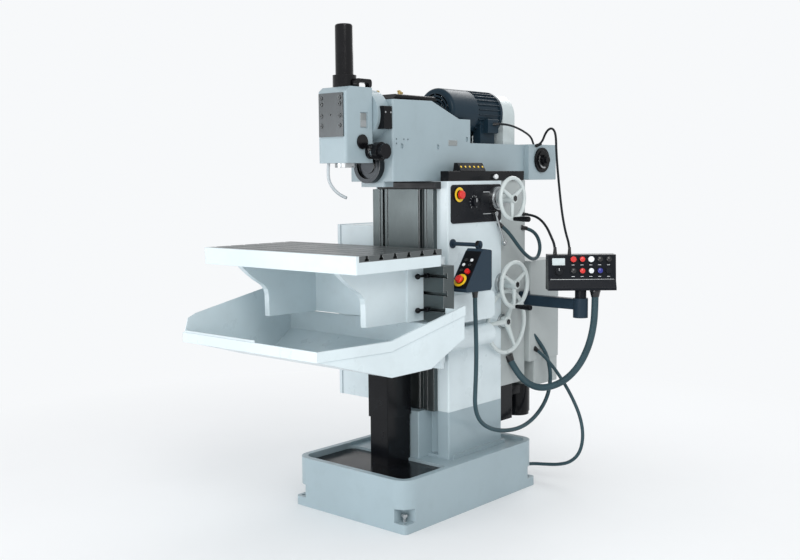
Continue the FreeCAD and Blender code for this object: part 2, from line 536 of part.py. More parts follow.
for x, z in holes:
    hexagon = [(x + 4.6 * math.cos(math.radians(60 * k)), HEAD_FRONT_Y - 11,
                z + 4.6 * math.sin(math.radians(60 * k))) for k in range(6)]
    screws.append(rod(x, HEAD_FRONT_Y - 10, z, (0, 1, 0), 7.5, 7).cut(prism(hexagon, (0, 5, 0))))
save("head_face_plate", [face] + screws)
collar = ring(0, SPINDLE_Y, HEAD_TOP_Z, (0, 0, 1), 49, 34, 50)
stack = rod(0, SPINDLE_Y, HEAD_TOP_Z + 50, (0, 0, 1), 37, 206)
stack = stack.makeFillet(9, [e for e in stack.Edges if e.BoundBox.ZMin > HEAD_TOP_Z + 250])
stack = stack.cut(rod(0, SPINDLE_Y, HEAD_TOP_Z + 49, (0, 0, 1), 33, 198))
handle = soft_block(52, 76, -462, -370, HEAD_TOP_Z, HEAD_TOP_Z + 34, 12, (1, 0, 0))
handle = handle.cut(soft_block(40, 90, -446, -386, HEAD_TOP_Z - 30, HEAD_TOP_Z + 18, 8, (1, 0, 0)))
side_cap = rod(HEAD_X, -438, 1594, (1, 0, 0), 30, 7)
save("drawbar_cover", [fused([collar, stack]), handle, side_cap])
quill = ring(0, SPINDLE_Y, HEAD_BOTTOM_Z + 4, (0, 0, 1), QUILL_R, 32 + RUN_FIT, 200)
save("quill", quill)
nose = rod(0, SPINDLE_Y, 1490, (0, 0, 1), NOSE_R, 21.7)
barrel = rod(0, SPINDLE_Y, 1510, (0, 0, 1), 32, 250)
tail = rod(0, SPINDLE_Y, 1760, (0, 0, 1), 20, 140)
bar = rod(0, SPINDLE_Y, 1900, (0, 0, 1), 12, 26)
spin = fused([nose, barrel, tail, bar])
spin = spin.cut(Part.makeCone(22.2, 12.7, 65, Vector(0, SPINDLE_Y, 1490), Vector(0, 0, 1)))
spin = spin.cut(rod(0, SPINDLE_Y, 1550, (0, 0, 1), 8.5, 200))
for k in range(4):
    angle = math.radians(45 + 90 * k)
    spin = spin.cut(rod(NOSE_PCD / 2 * math.cos(angle), SPINDLE_Y + NOSE_PCD / 2 * math.sin(angle),
                        1489, (0, 0, 1), 6.8, 19))
for sx in (-1, 1):
    x0, x1 = sorted((sx * 23.0, sx * 46.0))
    spin = spin.cut(block(x0, x1, SPINDLE_Y - 8, SPINDLE_Y + 8, 1489, 1495))
save("vertical_spindle", spin)
knob = fused([rod(HEAD_X + 0.4, -390, 1555, (1, 0, 0), 31, 13),
              rod(HEAD_X + 13, -390, 1555, (1, 0, 0), 24, 28),
              rod(HEAD_X + 40, -390, 1555, (1, 0, 0), 38, 26),
              rod(HEAD_X + 66, -390, 1555, (1, 0, 0), 31, 24)])
save("quill_feed_knob", knob)
pipe_points = [(-36, -516, 1508), (-37, -518, 1476), (-32, -516, 1432), (-18, -503, 1400),
               (24, -474, 1366)]
curve = Part.BSplineCurve()
curve.interpolate([Vector(*p) for p in pipe_points])
pipe_path = Part.Wire([curve.toShape()])
pipe_section = Part.Wire([Part.Circle(Vector(*pipe_points[0]), curve.tangent(0)[0], 6.5).toShape()])
pipe = pipe_path.makePipeShell([pipe_section], True, False)
save("coolant_pipe", pipe.cut(block(-60, 60, -560, -440, HEAD_BOTTOM_Z, HEAD_BOTTOM_Z + 30)))


# ---- handwheels ----
def handwheel(x, y, z, radius, rim, hub_r, hub_x0, first, dish, bore):
    """A dished wheel about +X with three spokes; x is the plane of the rim."""
    rim_ring = Part.makeTorus(radius - rim, rim, Vector(x, y, z), Vector(1, 0, 0))
    hub = rod(hub_x0, y, z, (1, 0, 0), hub_r, x - hub_x0 + dish)
    arms = []
    for k in range(3):
        arm = Part.makeCone(hub_r * 0.55, rim * 0.72, radius - rim, Vector(x - 2, y, z),
                            Vector(0, 0, 1))
        arm.rotate(Vector(x, y, z), Vector(1, 0, 0), first + 120 * k)
        arms.append(arm)
    return fused([rim_ring, hub] + arms).cut(rod(hub_x0 - 1, y, z, (1, 0, 0), bore, 200))


def grip(x, y, z, length):
    stem = rod(x, y, z, (1, 0, 0), 6, 8)
    barrel = Part.makeCone(9, 12.5, length - 30, Vector(x + 8, y, z), Vector(1, 0, 0))
    tip = rod(x + length - 22, y, z, (1, 0, 0), 12.5, 22)
    tip = tip.makeFillet(7, [e for e in tip.Edges if e.BoundBox.XMin > x + length - 1])
    return fused([stem, barrel, tip])


collars = [fused([rod(COL_X + 4, 292, 1350, (1, 0, 0), 53, 24),
                  rod(COL_X + 28, 292, 1350, (1, 0, 0), 46, 14),
                  rod(COL_X + 28, 292, 1350, (1, 0, 0), 5.95, 84)]),
           fused([rod(COL_X, 342, 957, (1, 0, 0), 49, 14),
                  rod(COL_X + 14, 342, 957, (1, 0, 0), 22, 12),
                  rod(COL_X + 14, 342, 957, (1, 0, 0), 5.95, 76)]),
           fused([rod(COL_X, 348, 780, (1, 0, 0), 34, 8), rod(COL_X, 348, 780, (1, 0, 0), 5.95, 34)])]
save("handwheel_collars", collars)
wheel_1 = handwheel(313, 292, 1350, 100, 9, 20, COL_X + 43, 60, 14, 6)
save("ram_handwheel", wheel_1.cut(rod(300, 292, 1350 - 91, (1, 0, 0), 6.05, 40)))
wheel_2 = handwheel(290, 342, 957, 111, 10, 21, COL_X + 27, 60, 16, 6)
save("table_handwheel", wheel_2.cut(rod(276, 342, 957 - 101, (1, 0, 0), 6.05, 40)))
wheel_3 = handwheel(240, 348, 780, 152, 10, 26, COL_X + 9, 90, 10, 6)
save("knee_handwheel", wheel_3.cut(rod(225, 348, 780 - 142, (1, 0, 0), 4, 40)))
save("ram_wheel_grip", grip(314.5, 292, 1350 - 91, 92))
save("table_wheel_grip", grip(292.5, 342, 957 - 101, 91))

# ---- right-hand panel, rail and lever ----
panel = soft_block(COL_X, COL_X + 4, -27, 338, 1246, 1414, 16, (1, 0, 0))
bezel = rod(COL_X + 4, 24, 1371, (1, 0, 0), 33, 5)
knobs = [rod(COL_X + 4, 135, 1336, (1, 0, 0), 20, 15), rod(COL_X + 4, 176, 1342, (1, 0, 0), 9, 10)]
panel = fused([panel, bezel] + knobs).cut(stop_hole)
save("side_panel", panel)
rail = soft_block(168, COL_X + 1, -40, 523, COL_TOP_Z, 1474, 3, (0, 1, 0))
wedge = prism([(170, 44, 1474), (COL_X + 1, 44, 1474), (188, 52, 1510), (170, 52, 1510)],
              (0, 182, 0))
save("control_rail", fused([rail, wedge]))
lever_hub = rod(COL_X + 4, 278, 1281, (1, 0, 0), 11, 20)
lever_arm = Part.makeCylinder(4.5, 150, Vector(COL_X + 16, 278, 1281), Vector(0, 62, -124))
lever_ball = Part.makeSphere(13, Vector(COL_X + 16, 278 + 68, 1281 - 136))
lever = fused([lever_hub, lever_arm, lever_ball])
save("feed_engage_lever", lever.cut(block(0, COL_X + 4.4, 0, 400, 1000, 1400)))


def stop_button(x, y, z, axis, scale):
    """A mushroom head on its stem; axis points out of the panel."""
    ax = Vector(*axis)
    ax.normalize()
    stem = Part.makeCylinder(9 * scale, 16 * scale, Vector(x, y, z), ax)
    top = Vector(x, y, z).add(ax * (12 * scale))
    cap = Part.makeCylinder(19 * scale, 14 * scale, top, ax)
    crown = [e for e in cap.Edges if e.BoundBox.Center.sub(top).dot(ax) > 12 * scale]
    cap = cap.makeFillet(6 * scale, crown[:1])
    return stem.fuse(cap).removeSplitter()


save("panel_stop_button", stop_button(COL_X + 4.3, 24, 1371, (1, 0, 0), 1.0))

# ---- pendant ----
PEND_X0 = 314.0
PEND_X1 = 402.0
pendant_side = [(-156, 970), (8, 968), (16, 982), (16, 1138), (-36, 1146), (-52, 1134),
                (-160, 987)]
pendant = prism([(PEND_X0, y, z) for y, z in pendant_side], (PEND_X1 - PEND_X0, 0, 0))
pendant = rounded(pendant, 7, (1, 0, 0))
eye = ring(350, -16, 1160, (1, 0, 0), 18, 9, 14)
eye = fused([eye, block(350, 364, -26, -6, 1136, 1145)])
peg = rod(COL_X, -16, 1160, (1, 0, 0), 8.7, 158)
peg_foot = rod(COL_X, -16, 1160, (1, 0, 0), 20, 6)
face_tilt = Vector(0, -147, 108)
face_tilt.normalize()
FACE = (face_tilt.x, face_tilt.y, face_tilt.z)


def on_face(x, along, out):
    """A point over the pendant's sloping face, counted up its slope."""
    slope = Vector(0, 108, 147)
    slope.normalize()
    p = Vector(x, -160, 987).add(slope * along).add(face_tilt * out)
    return (p.x, p.y, p.z)


stop_at = on_face(356, 36, 0)
start_at = on_face(374, 80, 0.3)
bezel = Part.makeCylinder(31, 5, Vector(*stop_at), face_tilt)
pendant = fused([pendant, eye, bezel])
for x, along in ((340, 84), (340, 112), (372, 112), (372, 136), (342, 136)):
    pendant = pendant.fuse(Part.makeCylinder(8, 6, Vector(*on_face(x, along, -1)), face_tilt))
pendant = pendant.cut(Part.makeCylinder(11.5, 10, Vector(*on_face(374, 80, -6)), face_tilt))
pendant = pendant.cut(Part.makeCylinder(8.8, 16, Vector(*on_face(356, 36, -7)), face_tilt))
save("pendant_box", [pendant, fused([peg, peg_foot])])
save("pendant_stop_button", stop_button(*on_face(356, 36, 0.3), FACE, 0.9))
save("pendant_button", Part.makeCylinder(11, 12, Vector(*start_at), face_tilt))

# ---- swing arm and control box ----
BOX_C = (515.0, 545.0)
BOX_TURN = 41.5
arm = soft_block(196, BOX_C[0] + 10, 520, 570, 838, 888, 8, (1, 0, 0))
arm = arm.common(prism([(190, 510, 838), (560, 510, 800), (560, 510, 884), (190, 510, 900)],
                       (0, 80, 0)))
arm = arm.fuse(rod(BOX_C[0], BOX_C[1], 802, (0, 0, 1), 34, 90))
root = soft_block(200, 226, 505, 559, 820, 905, 6, (1, 0, 0))
arm = arm.cut(block(150, 228, 559.5, 600, 700, 1000))
arm = fused([arm.cut(block(150, 210, 500, 600, 700, 1000)), root])
arm = arm.cut(rod(BOX_C[0], BOX_C[1], 870, (0, 0, 1), 15 + RUN_FIT, 30))
save("control_arm", arm)


def box_point(u, v, z):
    """A point of the control box: u along its face, v out of it."""
    t = math.radians(BOX_TURN)
    return (BOX_C[0] + u * math.cos(t) + v * math.sin(t),
            BOX_C[1] + u * math.sin(t) - v * math.cos(t), z)


def box_turned(shape):
    shape.rotate(Vector(BOX_C[0], BOX_C[1], 0), Vector(0, 0, 1), BOX_TURN)
    return shape


BX, BY = BOX_C
BU0, BU1 = -155.0, 152.0
B_LOW, B_HIGH = 932.0, 1093.0
section = [(BX + BU0, BY - 46, B_LOW + 44), (BX + BU0, BY - 36, B_HIGH), (BX + BU0, BY + 40, B_HIGH),
           (BX + BU0, BY + 40, B_LOW), (BX + BU0, BY - 62, B_LOW), (BX + BU0, BY - 62, B_LOW + 12)]
box = rounded(prism(section, (BU1 - BU0, 0, 0)), 5, (1, 0, 0))
post = rod(BX, BY, 872, (0, 0, 1), 15, 62)
neck = rod(BX, BY, 893, (0, 0, 1), 26, 40)
out = (0, -math.cos(math.radians(8.7)), math.sin(math.radians(8.7)))
lamps = []
for row, z in ((0, 1072), (1, 1020)):
    for col in range(5):
        if (row, col) in ((0, 0), (0, 2)):
            continue
        y = BY - 36 - (B_HIGH - z) * 10.0 / 117.0
        lamps.append(rod(BX - 42 + 40 * col, y + 2, z, out, 13, 16))
dial_knob = rod(BX - 108, BY - 42, 1018, out, 16, 18)
box = fused([box, post, neck, dial_knob] + lamps)
BUTTONS = (("box_red_button", 0, 1072), ("box_white_button", 2, 1072))
for name, col, z in BUTTONS:
    y = BY - 36 - (B_HIGH - z) * 10.0 / 117.0
    box = box.cut(rod(BX - 42 + 40 * col, y + 6, z - 1, out, 13.6, 10))
save("control_box", box_turned(box))
for name, col, z in BUTTONS:
    y = BY - 36 - (B_HIGH - z) * 10.0 / 117.0
    save(name, box_turned(rod(BX - 42 + 40 * col, y - 0.6, z, out, 13, 15)))

# ---- clamps on the cross slide ----
for name, z in (("slide_clamp_upper", 1045), ("slide_clamp_lower", 905)):
    clamp = fused([rod(286, SLIDE_FRONT_Y - 62, z, (0, 1, 0), 5.5, 60),
                   Part.makeSphere(12, Vector(286, SLIDE_FRONT_Y - 62, z)),
                   rod(286, SLIDE_FRONT_Y - 12, z, (0, 1, 0), 11, 11.5)])
    save(name, clamp)

# ---- cables ----
low = box_point(64, 12, B_LOW)
cable("pendant_hose",
      [(358, -44, 969), (358, -44, 905), (358, -38, 800), (353, -28, 670), (342, -20, 550),
       (328, -8, 452), (312, 50, 374), (298, 155, 318), (286, 290, 283), (278, 430, 274),
       (268, 560, 304), (262, 660, 372), (256, 700, 460), (250, 690, 550), (238, 650, 630),
       (218, 600, 690)], 19)
cable("supply_cable",
      [(218, 606, 622), (268, 600, 600), (330, 596, 552), (394, 590, 486), (452, 584, 412),
       (502, 576, 328), (522, 570, 240), (506, 566, 160), (456, 566, 108), (390, 566, 84),
       (312, 562, 73), (266, 552, 70), (238, 520, 70), (235, 480, 70), (235, 452, 70)], 16)
cable("control_conduit",
      [(low[0], low[1], B_LOW - 3), (low[0] + 4, low[1] - 6, 850), (low[0] + 4, low[1] - 18, 760),
       (558, 548, 670), (520, 532, 580), (462, 512, 510), (392, 490, 470), (326, 468, 462),
       (268, 450, 492), (226, 436, 546), (194, 424, 608)], 32)
top = box_point(-52, -4, B_HIGH)
cable("ram_cable",
      [(152.1, 715, 1595.5), (172, 713, 1601), (194, 710, 1620), (210, 705, 1650), (234, 698, 1672),
       (262, 688, 1676), (286, 675, 1658), (302, 660, 1624), (314, 644, 1572), (330, 628, 1504),
       (350, 610, 1428), (374, 588, 1348),
       (402, 564, 1264), (436, 540, 1186), (top[0], top[1], 1134),
       (top[0], top[1], B_HIGH + 0.5)], 11)
top2 = box_point(-118, -4, B_HIGH)
cable("panel_cable",
      [(194, 536, 1270), (244, 542, 1268), (296, 538, 1250), (344, 522, 1214), (380, 502, 1174),
       (top2[0], top2[1], 1132), (top2[0], top2[1], B_HIGH + 0.5)], 12)
cable("loop_hose",
      [(206, 322, 1236), (236, 338, 1214), (254, 372, 1172), (262, 418, 1122), (264, 474, 1080),
       (260, 536, 1056), (252, 592, 1068), (244, 620, 1116), (236, 604, 1168), (222, 562, 1200),
       (195, 526, 1208)], 17)
cable("motor_lead",
      [(112, 412, 1690), (144, 426, 1692), (166, 470, 1688), (170, 530, 1676), (168, 590, 1660),
       (160, 650, 1642), (142, 700, 1620), (128, 732, 1594)], 10)
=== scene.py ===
import bpy
import bmesh
import json
import math
from mathutils import Matrix, Vector


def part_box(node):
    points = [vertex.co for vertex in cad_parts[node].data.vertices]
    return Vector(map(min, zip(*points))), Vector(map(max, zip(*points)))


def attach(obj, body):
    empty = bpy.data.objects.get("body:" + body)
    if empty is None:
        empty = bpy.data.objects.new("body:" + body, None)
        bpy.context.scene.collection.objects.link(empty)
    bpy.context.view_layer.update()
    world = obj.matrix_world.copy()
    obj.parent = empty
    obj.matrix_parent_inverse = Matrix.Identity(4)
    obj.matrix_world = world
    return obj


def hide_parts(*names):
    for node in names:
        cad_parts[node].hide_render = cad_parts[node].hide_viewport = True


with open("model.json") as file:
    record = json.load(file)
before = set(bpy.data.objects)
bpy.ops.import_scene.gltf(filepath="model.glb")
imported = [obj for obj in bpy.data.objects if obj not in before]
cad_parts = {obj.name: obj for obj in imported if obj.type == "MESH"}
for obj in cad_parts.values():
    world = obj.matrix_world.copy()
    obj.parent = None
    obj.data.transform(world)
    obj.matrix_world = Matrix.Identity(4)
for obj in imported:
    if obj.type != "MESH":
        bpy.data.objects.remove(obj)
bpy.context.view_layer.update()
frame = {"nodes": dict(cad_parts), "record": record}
nodes = frame["nodes"]

# A universal toolroom milling machine.  Metres, +Z up, operator at -Y, controls at +X.

# ---- camera, in a three-quarter view from the side of the controls ----
CAMERA_AT = Vector((3.021, -3.531, 1.450))
CAMERA_TURN = math.radians(41.53)
CAMERA_PITCH = math.radians(5.68)
CAMERA_ROLL = math.radians(0.46)
CAMERA_LENS = 46.62


def make_camera():
    right = Vector((math.cos(CAMERA_TURN), math.sin(CAMERA_TURN), 0))
    level = Vector((-math.sin(CAMERA_TURN), math.cos(CAMERA_TURN), 0))
    up = Vector((0, 0, 1))
    ahead = level * math.cos(CAMERA_PITCH) - up * math.sin(CAMERA_PITCH)
    top = level * math.sin(CAMERA_PITCH) + up * math.cos(CAMERA_PITCH)
    local_x = right * math.cos(CAMERA_ROLL) - top * math.sin(CAMERA_ROLL)
    local_y = top * math.cos(CAMERA_ROLL) + right * math.sin(CAMERA_ROLL)
    turn = Matrix((local_x, local_y, -ahead)).transposed().to_4x4()
    data = bpy.data.cameras.new("camera")
    data.sensor_width = 36.0
    data.lens = CAMERA_LENS
    data.clip_end = 60.0
    camera = bpy.data.objects.new("camera", data)
    camera.matrix_world = Matrix.Translation(CAMERA_AT) @ turn
    bpy.context.collection.objects.link(camera)
    bpy.context.scene.camera = camera


make_camera()


# ---- node helpers ----
class Tree:
    """A material's nodes, with short calls for the few kinds that are used."""

    def __init__(self, name):
        self.material = bpy.data.materials.new(name)
        self.material.use_nodes = True
        self.nodes = self.material.node_tree.nodes
        self.links = self.material.node_tree.links
        self.shader = self.nodes["Principled BSDF"]
        self.place = self.nodes.new("ShaderNodeTexCoord").outputs["Object"]

    def put(self, node, key, value):
        socket = node.inputs[key]
        if isinstance(value, bpy.types.NodeSocket):
            self.links.new(value, socket)
        else:
            socket.default_value = value

    def math(self, operation, a, b=0.0):
        node = self.nodes.new("ShaderNodeMath")
        node.operation = operation
        self.put(node, 0, a)
        self.put(node, 1, b)
        return node.outputs[0]

    def noise(self, scale, detail=3.0, stretch=(1, 1, 1), rough=0.55):
        mapping = self.nodes.new("ShaderNodeMapping")
        self.links.new(self.place, mapping.inputs["Vector"])
        mapping.inputs["Scale"].default_value = stretch
        node = self.nodes.new("ShaderNodeTexNoise")
        self.links.new(mapping.outputs[0], node.inputs["Vector"])
        node.inputs["Scale"].default_value = scale
        node.inputs["Detail"].default_value = detail
        node.inputs["Roughness"].default_value = rough
        return node.outputs["Fac"]

    def spread(self, value, low_in, high_in, low_out, high_out):
        node = self.nodes.new("ShaderNodeMapRange")
        self.put(node, "Value", value)
        self.put(node, "From Min", low_in)
        self.put(node, "From Max", high_in)
        self.put(node, "To Min", low_out)
        self.put(node, "To Max", high_out)
        return node.outputs[0]

    def mix(self, factor, a, b):
        node = self.nodes.new("ShaderNodeMix")
        node.data_type = "RGBA"
        self.put(node, "Factor", factor)
        self.put(node, 6, a)
        self.put(node, 7, b)
        return node.outputs[2]

    def blend(self, factor, a, b):
        node = self.nodes.new("ShaderNodeMix")
        node.data_type = "FLOAT"
        self.put(node, "Factor", factor)
        self.put(node, 2, a)
        self.put(node, 3, b)
        return node.outputs[0]

    def axes(self):
        node = self.nodes.new("ShaderNodeSeparateXYZ")
        self.links.new(self.place, node.inputs[0])
        return node.outputs

    def band(self, axis, low, high):
        """1 between two heights along an axis of the frame, and 0 elsewhere."""
        value = self.axes()["XYZ".index(axis)]
        above = self.math("GREATER_THAN", value, low)
        below = self.math("LESS_THAN", value, high)
        return self.math("MULTIPLY", above, below)

    def edges(self, radius):
        """The rounded normal, and 1 along worn edges."""
        bevel = self.nodes.new("ShaderNodeBevel")
        bevel.samples = 4
        bevel.inputs["Radius"].default_value = radius
        geometry = self.nodes.new("ShaderNodeNewGeometry")
        dot = self.nodes.new("ShaderNodeVectorMath")
        dot.operation = "DOT_PRODUCT"
        self.links.new(bevel.outputs[0], dot.inputs[0])
        self.links.new(geometry.outputs["Normal"], dot.inputs[1])
        return bevel.outputs[0], self.spread(dot.outputs["Value"], 0.995, 0.90, 0.0, 1.0)


def rgba(color, factor=1.0):
    return (color[0] * factor, color[1] * factor, color[2] * factor, 1.0)


def paint(tree, color, rough=0.34, wear=0.25, peel=0.10, grime=0.10):
    """Sprayed enamel: soft mottling, a little grime, fine orange peel and paler edges."""
    base = tree.mix(tree.spread(tree.noise(2.6, 4), 0.35, 0.65, 0, 1),
                    rgba(color, 0.955), rgba(color, 1.035))
    dirt = tree.spread(tree.noise(16.0, 7), 0.52, 0.74, 0.0, grime)
    base = tree.mix(dirt, base, rgba((color[0] * 0.55, color[1] * 0.54, color[2] * 0.50)))
    edge = tree.math("MULTIPLY", tree.worn, tree.spread(tree.noise(60, 3), 0.40, 0.62, 0.0, wear))
    pale = tuple(0.45 * c + 0.42 for c in color)
    base = tree.mix(edge, base, rgba(pale))
    return {"color": base, "metal": 0.0,
            "rough": tree.spread(tree.noise(9.0, 5), 0.3, 0.7, rough - 0.05, rough + 0.09),
            "height": tree.math("MULTIPLY", tree.noise(650, 2), peel)}


def steel(tree, color, rough=0.30, grain=(1.0, 40.0, 40.0), mark=0.35):
    """Machined metal: fine marks along one way, clouded tone and small oily patches."""
    marks = tree.noise(26.0, 4, grain, 0.7)
    cloud = tree.noise(5.0, 5)
    base = tree.mix(tree.spread(cloud, 0.3, 0.7, 0, 1), rgba(color, 0.82), rgba(color, 1.10))
    base = tree.mix(tree.spread(marks, 0.35, 0.65, 0.0, mark), base, rgba(color, 0.62))
    base = tree.mix(tree.math("MULTIPLY", tree.worn, 0.4), base, rgba((0.8, 0.81, 0.82)))
    return {"color": base, "metal": 1.0,
            "rough": tree.spread(cloud, 0.3, 0.7, rough - 0.06, rough + 0.12),
            "height": tree.math("MULTIPLY", marks, 0.25)}


def plastic(tree, color, rough=0.30, grain=0.12, scale=900.0):
    """Moulded plastic or rubber: even colour with faint clouding, dust and fine grain."""
    base = tree.mix(tree.spread(tree.noise(12.0, 4), 0.35, 0.65, 0, 1),
                    rgba(color, 0.90), rgba(color, 1.10))
    dust = tree.spread(tree.noise(70.0, 6), 0.60, 0.80, 0.0, 0.10)
    base = tree.mix(dust, base, rgba(tuple(0.7 * c + 0.10 for c in color)))
    base = tree.mix(tree.math("MULTIPLY", tree.worn, 0.10), base,
                    rgba(tuple(0.6 * c + 0.25 for c in color)))
    return {"color": base, "metal": 0.0,
            "rough": tree.spread(tree.noise(30.0, 4), 0.3, 0.7, rough - 0.04, rough + 0.10),
            "height": tree.math("MULTIPLY", tree.noise(scale, 2), grain)}


def over(tree, factor, below, above):
    return {"color": tree.mix(factor, below["color"], above["color"]),
            "metal": tree.blend(factor, below["metal"], above["metal"]),
            "rough": tree.blend(factor, below["rough"], above["rough"]),
            "height": tree.blend(factor, below["height"], above["height"])}


def material(name, build, radius=0.0018, coat=0.0, gloss=0.5):
    """build(tree) returns the finish that goes on the one shader."""
    tree = Tree(name)
    rounded, tree.worn = tree.edges(radius)
    look = build(tree)
    tree.put(tree.shader, "Base Color", look["color"])
    tree.put(tree.shader, "Metallic", look["metal"])
    tree.put(tree.shader, "Roughness", look["rough"])
    tree.shader.inputs["Coat Weight"].default_value = coat
    tree.shader.inputs["Coat Roughness"].default_value = 0.12
    tree.shader.inputs["Specular IOR Level"].default_value = gloss
    bump = tree.nodes.new("ShaderNodeBump")
    bump.inputs["Strength"].default_value = 0.55
    bump.inputs["Distance"].default_value = 0.0006
    tree.put(bump, "Height", look["height"])
    tree.links.new(rounded, bump.inputs["Normal"])
    tree.links.new(bump.outputs[0], tree.shader.inputs["Normal"])
    return tree.material


# ---- colours ----
BLUE_GREY = (0.318, 0.405, 0.445)
WHITE = (0.640, 0.730, 0.765)
GREY_GREEN = (0.400, 0.440, 0.440)
STEEL = (0.480, 0.500, 0.510)
GROUND = (0.120, 0.140, 0.142)
DARK_STEEL = (0.150, 0.165, 0.168)
BLACK = (0.004, 0.0045, 0.006)
MOTOR = (0.012, 0.028, 0.043)
NAVY = (0.020, 0.038, 0.058)
WHEEL = (0.560, 0.620, 0.620)
RED = (0.700, 0.015, 0.010)
YELLOW = (0.850, 0.560, 0.010)
BUTTON_WHITE = (0.800, 0.830, 0.850)
BLUE = (0.015, 0.020, 0.260)
TEAL = (0.040, 0.075, 0.090)
BRASS = (0.620, 0.460, 0.190)
ARCH = (0.520, 0.590, 0.600)


# ---- where one node changes finish, or takes a band of painted shade, in metres ----
KNOB_STEEL_X = (0.0935, 0.1195)
TABLE_STEEL_Z = (1.1333, 1.30)
TABLE_STEEL_Y = (-0.7578, 0.0)
# the top of the column ways under the ram: a band of painted shade, drawn in black
WAY_TOP_SHADE_Z = (1.3962, 1.5)
PENDANT_FACE_X = (0.318, 0.398)
PENDANT_FACE_REACH = 0.7126
WAY_COVER_Z = (1.42, 1.58)


def knob_finish(tree):
    look = plastic(tree, BLACK, 0.22)
    return over(tree, tree.band("X", *KNOB_STEEL_X), look,
                steel(tree, STEEL, 0.22, (30.0, 1.0, 1.0)))


def table_finish(tree):
    look = paint(tree, WHITE)
    above = tree.band("Z", *TABLE_STEEL_Z)
    inside = tree.band("Y", *TABLE_STEEL_Y)
    return over(tree, tree.math("MULTIPLY", above, inside), look,
                steel(tree, DARK_STEEL, 0.36, (40.0, 1.2, 40.0), 0.5))


def way_finish(tree):
    look = steel(tree, GROUND, 0.34, (40.0, 40.0, 1.0), 0.55)
    # the black band at the top of the ways is painted shade under the ram
    return over(tree, tree.band("Z", *WAY_TOP_SHADE_Z), look, plastic(tree, BLACK, 0.45))


def pendant_finish(tree):
    look = paint(tree, NAVY, 0.38, 0.10, 0.30)
    parts = tree.axes()
    reach = tree.math("ADD", tree.math("MULTIPLY", parts[1], -0.8059),
                      tree.math("MULTIPLY", parts[2], 0.5921))
    face = tree.math("GREATER_THAN", reach, PENDANT_FACE_REACH)
    narrow = tree.band("X", *PENDANT_FACE_X)
    return over(tree, tree.math("MULTIPLY", face, narrow), look, plastic(tree, BLACK, 0.28))


def covers_finish(tree):
    look = paint(tree, BLACK, 0.24, 0.12)
    return over(tree, tree.band("Z", *WAY_COVER_Z), look,
                steel(tree, (0.05, 0.055, 0.06), 0.30, (1.0, 40.0, 1.0)))


LOOKS = {
    "cast_blue_grey": lambda t: paint(t, BLUE_GREY),
    "white_enamel": lambda t: paint(t, WHITE, 0.30),
    "grey_green": lambda t: paint(t, GREY_GREEN, 0.40),
    "ground_steel": lambda t: steel(t, GROUND, 0.34),
    "bright_steel": lambda t: steel(t, STEEL, 0.22, (30.0, 1.0, 1.0)),
    "black_sheet": lambda t: paint(t, BLACK, 0.20, 0.12, 0.05),
    "motor_blue": lambda t: paint(t, MOTOR, 0.30, 0.15, 0.30),
    "black_plastic": lambda t: plastic(t, BLACK, 0.22),
    "panel_black": lambda t: plastic(t, BLACK, 0.34),
    "wheel_grey": lambda t: paint(t, WHEEL, 0.30, 0.35),
    "navy": lambda t: paint(t, NAVY, 0.34, 0.15, 0.25),
    "red_plastic": lambda t: plastic(t, RED, 0.25),
    "white_plastic": lambda t: plastic(t, BUTTON_WHITE, 0.28),
    "hose_teal": lambda t: plastic(t, TEAL, 0.36, 0.35, 240.0),
    "cable_black": lambda t: plastic(t, (0.012, 0.015, 0.018), 0.42, 0.30, 300.0),
    "belt_rubber": lambda t: plastic(t, BLACK, 0.60, 0.5, 400.0),
}
COATS = {"cast_blue_grey": 0.15, "white_enamel": 0.20, "black_sheet": 0.08, "wheel_grey": 0.2,
         "red_plastic": 0.3}
DARK_SLOTS = {"black_sheet", "motor_blue", "black_plastic", "panel_black", "navy", "hose_teal",
              "cable_black", "belt_rubber"}
DARK_GLOSS = 0.15
SPECIAL = {
    "quill_feed_knob": (knob_finish, 0.05),
    "angle_table": (table_finish, 0.2),
    "column_ways": (way_finish, 0.0),
    "pendant_box": (pendant_finish, 0.0),
    "ram_covers": (covers_finish, 0.05),
    "swivel_flange": (lambda t: paint(t, BLUE_GREY), 0.25),
    "belt_housing": (lambda t: paint(t, ARCH, 0.32), 0.25),
    "cross_slide": (lambda t: steel(t, GROUND, 0.36, (1.0, 40.0, 40.0)), 0.0),
    "control_box": (lambda t: plastic(t, (0.006, 0.008, 0.012), 0.30), 0.0),
    "head_face_plate": (lambda t: steel(t, (0.14, 0.15, 0.155), 0.34, (40.0, 40.0, 1.2), 0.6), 0.0),
    "drawbar_cover": (lambda t: plastic(t, (0.004, 0.004, 0.005), 0.16), 0.25),
    "coolant_pipe": (lambda t: plastic(t, (0.42, 0.47, 0.50), 0.32), 0.3),
    "side_panel": (lambda t: plastic(t, (0.005, 0.006, 0.009), 0.26), 0.05),
}
made = {}
for name, look in LOOKS.items():
    gloss = DARK_GLOSS if name in DARK_SLOTS else 0.5
    made[name] = material(name, look, coat=COATS.get(name, 0.0), gloss=gloss)
EXTRA = {
    "yellow": material("yellow", lambda t: plastic(t, YELLOW, 0.30), coat=0.3),
    "button_blue": material("button_blue", lambda t: plastic(t, BLUE, 0.25), coat=0.4),
    "brass": material("brass", lambda t: steel(t, BRASS, 0.25), 0.0006),
    "label_grey": material("label_grey", lambda t: plastic(t, (0.30, 0.32, 0.33), 0.35), 0.0003),
    "plate_steel": material("plate_steel", lambda t: steel(t, (0.42, 0.45, 0.45), 0.35), 0.0004),
    "screw_steel": material("screw_steel", lambda t: steel(t, STEEL, 0.25), 0.0004),
    "black_small": material("black_small", lambda t: plastic(t, BLACK, 0.22), 0.0006, 0.3),
    "white_small": material("white_small", lambda t: plastic(t, BUTTON_WHITE, 0.25), 0.0006, 0.3),
    "red_small": material("red_small", lambda t: plastic(t, RED, 0.22), 0.0006, 0.4),
    "display": material("display", lambda t: plastic(t, (0.62, 0.70, 0.72), 0.16), 0.0004, 0.6),
}
